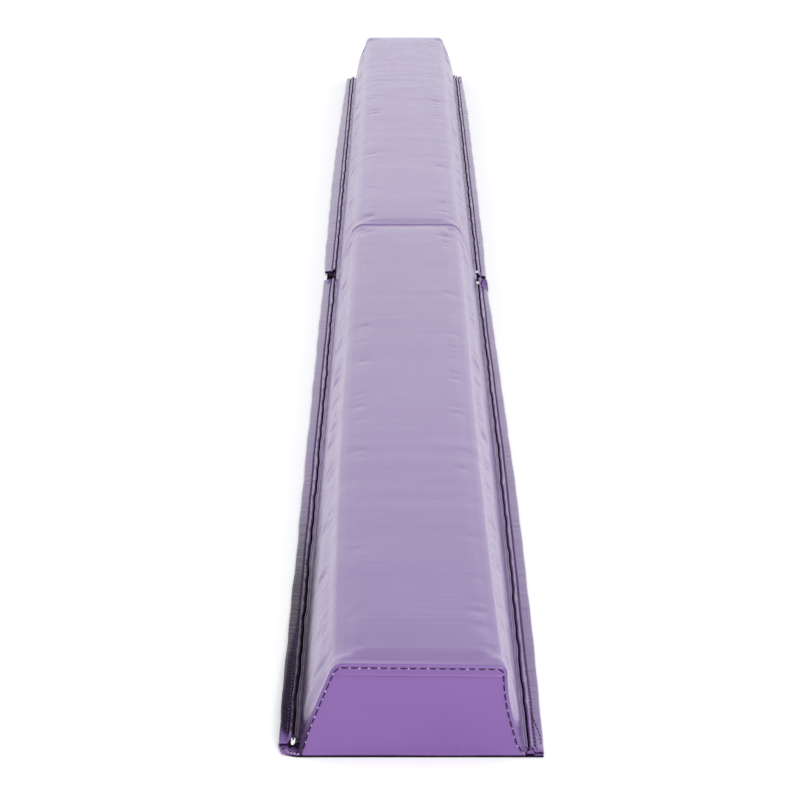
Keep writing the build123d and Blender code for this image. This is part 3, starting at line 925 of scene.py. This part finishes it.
def tail(name, half, side, x_range, along_range, height, seed):
    """A bunched end of vinyl and zip tape: a low lumpy cushion with sharp folds."""
    sign = SIDES[side]
    u, v = np.meshgrid(np.linspace(-1, 1, 34), np.linspace(-1, 1, 60))
    middle = np.array([sum(x_range) / 2, sum(along_range) / 2])
    reach = np.array([x_range[1] - x_range[0], along_range[1] - along_range[0]]) / 2
    dome = np.sqrt(np.clip((1 - u ** 4) * (1 - v ** 4), 0, 1))
    grid = points_of(sign * (middle[0] + reach[0] * u), middle[1] + reach[1] * v, BASE_TOP + 1.0)
    folds = [1 - 2 * np.abs(noise_grid(grid, scale, seed + k)) for k, scale in
             enumerate([(5.0, 8.0, 9.0), (3.2, 4.5, 9.0), (9.0, 5.0, 9.0)])]
    grid[..., 2] += dome * height * (0.5 + 0.9 * (folds[0] - 0.5) + 0.4 * (folds[1] - 0.5))
    grid[..., 2] = np.maximum(grid[..., 2], BASE_TOP + 0.6)
    grid[..., 0] += 1.1 * dome * (folds[2] - 0.6) * sign
    piece = grid_piece(name, place(grid, half), CUFF_VINYL, LEAF_SKIN,
                       flip=(half == "front") != (side == "left"))
    settle(piece, "purple_vinyl", half)


def flange_seam(along, half, side):
    """Where the flange's stitch line runs."""
    seed = 80 + HALVES[half] + 3 * SIDES[side]
    return SEAM_LINE + bow(along, half, side) + wander(along, seed, (260.0, 110.0), 0.18)


def sew_flange(half, side):
    """The flange's stitch line; at the front right corner a second line turns out to the edge."""
    start = flange_ends(half, side)[0]
    stop = HALF_LENGTH - (MOUTH_DEPTH + 3 if side == "left" else 3)
    along = np.arange(max(start, FLANGE_START) + 4, stop, 2.0)
    height = LEAF_TOP - 0.1
    path = points_of(flange_seam(along, half, side) * SIDES[side], along, height)
    if side == "left":
        path[:, 2] += mouth_lift(path[:, 0], path[:, 1], half, HALF_LENGTH - MOUTH_DEPTH)
    rows = [place(path, half)]
    if side == "right":
        out = np.linspace(0, 1, 24)
        fork = points_of(SEAM_LINE + 0.05 + FORK_REACH * ease(out * 1.3),
                         HALF_LENGTH - 8 - FORK_LENGTH * (1 - out), height + 0.15)
        rows.append(place(fork, half))
    for number, row in enumerate(rows):
        name = f"{half}_{side}_flange_stitches" + ("_fork" if number else "")
        piece = stitch_row(name, row, (0, 0, 1), FLANGE_THREAD, 90 + number, radius=0.4)
        settle(piece, "seam_thread", half)
    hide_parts(f"{half}_flange_thread")


def cuff(half, flange_grid):
    """The left flange's open outer end: a hem on the upper leaf, a bound and stitched lower leaf."""
    hem_row = flange_grid[-1][5:16] + np.array([0, HALVES[half] * 0.15, 0.1])
    x = -np.linspace(66.8, EDGE - 0.1, 26)
    rim = points_of(x, corner_limit(x) - 0.5, BASE_TOP + 0.55)
    for name, row, radius in (("hem", hem_row, 0.65), ("rim", place(rim, half), 0.6)):
        roll = tubes(f"{half}_left_cuff_{name}", [row], [np.full(len(row), radius)], CUFF_VINYL, sides=10)
        settle(roll, "purple_vinyl", half)
    inner = rim + np.array([0.5, -1.1, 0.5])
    row = stitch_row(f"{half}_left_cuff_stitches", place(inner, half), (0, 0, 1), THREAD, 7, length=2.2,
                     radius=0.32, sink=0.3, start=0.5)
    # pale thread ends along the rim, light enough to paint their highlights
    spots = along_path(place(rim, half), [0.8, 3.0, 5.2, 7.4])[0] + np.array([0, 0, 0.5])
    ends = beads(f"{half}_left_cuff_thread_ends", spots, [(0.5, 0.5, 0.45)] * 4, PAINTED_HIGHLIGHT_THREAD)
    for piece in (row, ends):
        settle(piece, "seam_thread", half)


DOT_PITCH, DOT_RADIUS = 8.0, 2.0
SHEET_BOTTOM = 0.35              # the sheet's face; its dots reach the floor


def base_sheet(half):
    """The non-slip sheet: a thin flat sheet with raised dots that stand on the floor."""
    x = np.concatenate([-np.linspace(EDGE, 66.5, 16), np.linspace(-60, 60, 9), [70.0, EDGE - 0.6, EDGE]])
    along = np.concatenate([[JOINT_FACE], np.linspace(JOINT_FACE + 0.5, HALF_LENGTH - MOUTH_RUN, 70),
                            np.linspace(HALF_LENGTH - MOUTH_RUN + 5, HALF_LENGTH, 14)])
    grid_x, grid_y = np.meshgrid(x, along)
    squeeze = np.clip((grid_y - HALF_LENGTH + MOUTH_RUN) / MOUTH_RUN, 0, 1)
    grid_y = grid_y - squeeze * (HALF_LENGTH - corner_limit(grid_x))
    grid = points_of(grid_x, grid_y, BASE_TOP)
    sheet = grid_piece(f"{half}_base_sheet", place(grid, half), RUBBER, BASE_TOP - SHEET_BOTTOM,
                       flip=half == "front")
    settle(sheet, "nonslip_base", half, f"{half}_base_panel")
    spots_x = np.arange(-EDGE + 6, EDGE - 5, DOT_PITCH)
    spots_y = np.arange(JOINT_FACE + 6, HALF_LENGTH - 6, DOT_PITCH)
    spots = []
    for row, y in enumerate(spots_y):
        shift = DOT_PITCH / 2 * (row % 2)
        spots += [(px + shift, y) for px in spots_x if px + shift < EDGE - 4
                  and y < corner_limit(np.array(px + shift)) - 3]
    spots = np.array(spots)
    turn = np.linspace(0, 2 * np.pi, 8, endpoint=False)
    rings = [(1.0, SHEET_BOTTOM + 0.05), (0.85, 0.1), (0.5, 0.0)]
    across, onward = spots[:, :1], spots[:, 1:]
    ring_x, ring_y = DOT_RADIUS * np.cos(turn), DOT_RADIUS * np.sin(turn)
    points = np.stack([points_of(across + share * ring_x, onward + share * ring_y, z)
                       for share, z in rings], 1)
    faces = []
    for k in range(len(spots)):
        faces += grid_faces(3, 8, wrap=True, start=24 * k)
        faces.append([24 * k + 16 + j for j in range(8)])
        faces.append([24 * k + 7 - j for j in range(8)])
    dots = make_mesh(f"{half}_base_dots", place(points, half), faces, RUBBER)
    settle(dots, "nonslip_base", half)


# ---------------------------------------------------------------- foam, zips and the fold

def foam_plank(half, which):
    """One foam plank, cut to the cover's inside and leaning with it."""
    low, high = box_mm(f"back_foam_core_{which}")
    inset = wall_x(low.z) - high.x
    rows = np.linspace(low.y, high.y, 60)
    right = [(wall_x(low.z) - inset, low.z), (wall_x(high.z) - inset, high.z)]
    if which == "upper":
        radius = LEFT_EDGE_RADIUS + 2
        corner = radius * math.tan((math.pi / 2 - WALL_ANGLE) / 2)
        top = wall_x(high.z) - inset
        turn = np.linspace(WALL_ANGLE, math.pi / 2, 8)
        middle_x, middle_z = top - corner, high.z - radius
        right = right[:1] + [(middle_x + radius * math.cos(angle), middle_z + radius * math.sin(angle))
                             for angle in turn]
    right = np.array(right)
    loop = np.concatenate([right, right[::-1] * [-1, 1]])
    dense = []
    for a, b in zip(loop, np.roll(loop, -1, 0)):
        steps = max(2, int(np.linalg.norm(b - a) / 8))
        dense += [a + (b - a) * k / steps for k in range(steps)]
    loop = np.array(dense)
    middle = np.array([0, loop[:, 1].mean()])
    count = len(loop)
    body = np.stack([points_of(loop[:, 0], y, loop[:, 1]) for y in rows])
    ends = []
    for y in (rows[0], rows[-1]):
        shrunk = [middle + (loop - middle) * s for s in (0.75, 0.5, 0.25, 0.02)]
        ends.append([points_of(s[:, 0], y, s[:, 1]) for s in shrunk])
    grid = np.concatenate([np.stack(ends[0][::-1]), body, np.stack(ends[1])])
    grid = place(lean(grid, half), half)
    faces = grid_faces(len(grid), count, wrap=True, flip=half == "front")
    inner, outer = list(range(count)), list(range((len(grid) - 1) * count, len(grid) * count))
    faces += [inner[::-1], outer] if half == "back" else [inner, outer[::-1]]
    piece = make_mesh(f"{half}_foam_plank_{which}", grid, faces, FOAM, smooth=False)
    settle(piece, "core_foam", half, f"{half}_foam_core_{which}")


COIL_PITCH = 1.27


def coil(half, side, row):
    """One side of the zip's coil: a bar of tight turns, hooked where it meets the other side."""
    low, high = box_mm(f"{half}_{side}_zip_{row}_coil")
    steps = int((high.y - low.y) / (COIL_PITCH / 2))
    along = np.linspace(low.y, high.y, steps)
    swell = np.where(np.arange(steps) % 2, 1.0, 0.62)[:, None]
    turn = np.linspace(0, 2 * np.pi, 8, endpoint=False)
    middle = np.array([(low.x + high.x) / 2, (low.z + high.z) / 2])
    reach = np.array([(high.x - low.x) / 2, (high.z - low.z) / 2])
    ring_x = middle[0] + reach[0] * np.cos(turn) * (0.55 + 0.45 * swell)
    ring_z = middle[1] + reach[1] * np.sin(turn) * swell
    grid = points_of(ring_x, along[:, None], ring_z)
    faces = grid_faces(steps, 8, wrap=True)
    faces += [list(range(8)), list(range(steps * 8 - 1, (steps - 1) * 8 - 1, -1))]
    piece = make_mesh(f"{half}_{side}_{row}_coil_turns", grid, faces, NYLON)
    settle(piece, "zip_coil", half, f"{half}_{side}_zip_{row}_coil")


def zip_tape(half, side, row):
    """A woven zip tape, cut off short of the left flanges' open ends."""
    low, high = box_mm(f"back_{side}_zip_{row}_tape")
    end = HALF_LENGTH - MOUTH_DEPTH - 1.5 if side == "left" else high.y
    along = np.linspace(low.y, end, 200)
    foot = max(abs(low.x), abs(high.x)), min(abs(low.x), abs(high.x))
    if row == "outer":
        line = np.linspace((foot[0] - 1.2, low.z + 0.25), (foot[1], low.z + 0.25), 9)
    else:
        turn = wall_x(low.z) - 1.4
        flat = np.linspace((foot[0], low.z + 0.25), (turn, low.z + 0.25), 5)
        rise = np.linspace((turn - 0.15, low.z + 0.8), (wall_x(high.z) - 1.45, high.z), 6)
        line = np.concatenate([flat, rise])
    wave = 0.06 * np.sin(along / 2.3)[:, None]
    grid = points_of(line[:, 0] * SIDES[side], along[:, None], line[:, 1] + wave)
    thickness = high.z - low.z if row == "outer" else 0.45
    piece = grid_piece(f"{half}_{side}_{row}_tape_woven", place(grid, half), TAPE, thickness, side=0.0)
    settle(piece, "zip_tape", half, f"{half}_{side}_zip_{row}_tape")


def hinge_strip():
    """The strip across the fold, which bends there on the real beam but is drawn flat here, and its two
    seams.
    """
    reach = strip_high.y
    near = np.linspace(-6, 6, 49)
    far = np.linspace(7, reach, 14)
    along = np.concatenate([-far[::-1], near, far])
    x = np.linspace(strip_low.x, strip_high.x, 45)
    grid_x, grid_y = np.meshgrid(x, along)
    grid = points_of(grid_x, grid_y, strip_high.z - 0.02)
    thick = strip_high.z - strip_low.z - 0.04
    top = grid.reshape(-1, 3)
    bottom = top - np.array([0, 0, thick])
    rows, columns = len(along), len(x)
    faces = grid_faces(rows, columns) + grid_faces(rows, columns, start=rows * columns, flip=True)
    index = np.arange(rows * columns).reshape(rows, columns)
    rim = np.concatenate([index[0, :-1], index[:-1, -1], index[-1, :0:-1], index[:0:-1, 0]])
    for a, b in zip(rim, np.roll(rim, -1)):
        faces.append([int(b), int(a), int(a) + rows * columns, int(b) + rows * columns])
    strip = make_mesh("fold_strip", np.concatenate([top, bottom]), faces, STRIP)
    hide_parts("fold_hinge_strip")
    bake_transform(strip)
    seam_low, seam_high = box_mm("fold_hinge_thread")
    for half, sign in HALVES.items():
        ends = (seam_low.x, seam_high.x)
        path = [(x, sign * seam_high.y - sign * 0.3, strip_high.z - 0.1) for x in ends]
        row = stitch_row(f"{half}_fold_stitches", path, (0, 0, 1), THREAD, 3, radius=0.25, sink=0.3)
        settle(row, "seam_thread", half, "fold_hinge_thread")


def joint_edge():
    """The turned edge of the front cover down the left wall at the fold: a bead of light vinyl that paints
    the edge's highlight as a light line.
    """
    heights = np.linspace(HEIGHT - 7.0, LIP_TOP + 4.0, 40)
    path = points_of(wall_x(heights) * SIDES["left"] - 0.1 - 0.5 * np.sin(np.linspace(0, np.pi, 40)),
                     JOINT_FACE + 1.2 + 0.3 * np.sin(heights / 4.0), heights)
    bead = tubes("front_left_joint_edge", [place(path, "front")], [np.full(40, 0.55)], PAINTED_HIGHLIGHT_VINYL)
    settle(bead, "purple_vinyl", "front")


def finish_nodes():
    """Materials and softened edges for the CAD nodes whose shape is right as it is."""
    finishes = {"slider": (GUNMETAL, 0.22), "pull": (NICKEL, 0.18), "stop": (GUNMETAL, 0.2)}
    for name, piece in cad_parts.items():
        kind = name.split("_")[-1]
        if kind not in finishes or "_zip_" not in name:
            continue
        material, round_off = finishes[kind]
        piece.data.materials.clear()
        piece.data.materials.append(material)
        bevel = piece.modifiers.new("soft_edges", "BEVEL")
        bevel.width = round_off * MM
        bevel.segments = 2
        bevel.limit_method = "ANGLE"


# ---------------------------------------------------------------- stage

def stage_material():
    """A matt pale floor that is bright enough to keep the beam's shadow faint."""
    material, shader, tree = new_material("pale_floor")
    tone = noise_node(tree, (1.2, 1.2, 1.2))
    colour_by(tree, shader, tone, [(0.2, (0.90, 0.90, 0.90)), (0.8, (0.92, 0.92, 0.92))])
    shader.inputs["Roughness"].default_value = 0.9
    shader.inputs["Specular IOR Level"].default_value = 0.1
    shader.inputs["Emission Color"].default_value = (1.0, 1.0, 1.0, 1.0)
    shader.inputs["Emission Strength"].default_value = 0.13
    return material


def area_light(name, spot, target, size, power):
    """A soft rectangular lamp that faces a target."""
    data = bpy.data.lights.new(name, "AREA")
    data.shape = "RECTANGLE"
    data.size, data.size_y = size
    data.energy = power
    lamp = bpy.data.objects.new(name, data)
    lamp.location = spot
    lamp.rotation_mode = "QUATERNION"
    lamp.rotation_quaternion = (Vector(target) - Vector(spot)).to_track_quat("-Z", "Y")
    bpy.context.scene.collection.objects.link(lamp)


FLOOR_REACH = 9000.0
CAMERA_LENS, CAMERA_TILT = 131.84, 15.80     # millimetres, and degrees below level
CAMERA_SIDE, CAMERA_BACK, CAMERA_HEIGHT = -0.0064, 1.6367, 0.6867


def build_stage():
    """A pale floor, a white room, soft lamps before and behind the beam, and the camera."""
    floor_x, floor_y = np.meshgrid((-FLOOR_REACH, FLOOR_REACH), (-FLOOR_REACH, FLOOR_REACH))
    grid_piece("floor", points_of(floor_x, floor_y, 0), stage_material())
    scene = bpy.context.scene
    scene.view_settings.view_transform = "Standard"
    world = bpy.data.worlds.new("white_room")
    world.use_nodes = True
    room = world.node_tree.nodes["Background"]
    room.inputs["Color"].default_value = (0.97, 0.985, 1.0, 1.0)
    room.inputs["Strength"].default_value = 1.06
    scene.world = world
    area_light("front_softbox", (0.9, -3.3, 1.5), (0, -0.9, 0.05), (1.5, 1.2), 29.0)
    area_light("back_softbox", (0.0, 7.0, 1.7), (0, 0, 0.05), (5.0, 3.2), 10.0)
    camera_data = bpy.data.cameras.new("camera")
    camera_data.sensor_width = 36.0
    camera_data.lens = CAMERA_LENS
    camera_data.clip_start, camera_data.clip_end = 0.05, 60.0
    camera = bpy.data.objects.new("camera", camera_data)
    camera.location = (CAMERA_SIDE, -HALF_LENGTH * MM - CAMERA_BACK, CAMERA_HEIGHT)
    camera.rotation_euler = (math.radians(90 - CAMERA_TILT), 0.0, 0.0)
    scene.collection.objects.link(camera)
    scene.camera = camera


for half in HALVES:
    cover(half)
    for which in ("outer", "inner"):
        end_panel(half, which)
    base_sheet(half)
    for which in ("lower", "upper"):
        foam_plank(half, which)
    for side in SIDES:
        rows = flange(half, side)
        sew_flange(half, side)
        if side == "left":
            cuff(half, rows)
        for row in ("inner", "outer"):
            coil(half, side, row)
            zip_tape(half, side, row)
tail("front_right_fold_tail", "front", "right", (72.6, EDGE + 1.0), (1.5, 40.0), 5.0, 70)
tail("front_left_fold_tail", "front", "left", (72.8, EDGE + 0.4), (1.5, 15.0), 3.4, 74)
tail("front_right_outer_tail", "front", "right", (69.6, 74.6),
     (HALF_LENGTH - 7.5, HALF_LENGTH - 0.6), 3.6, 78)
joint_edge()
hinge_strip()
finish_nodes()
build_stage()
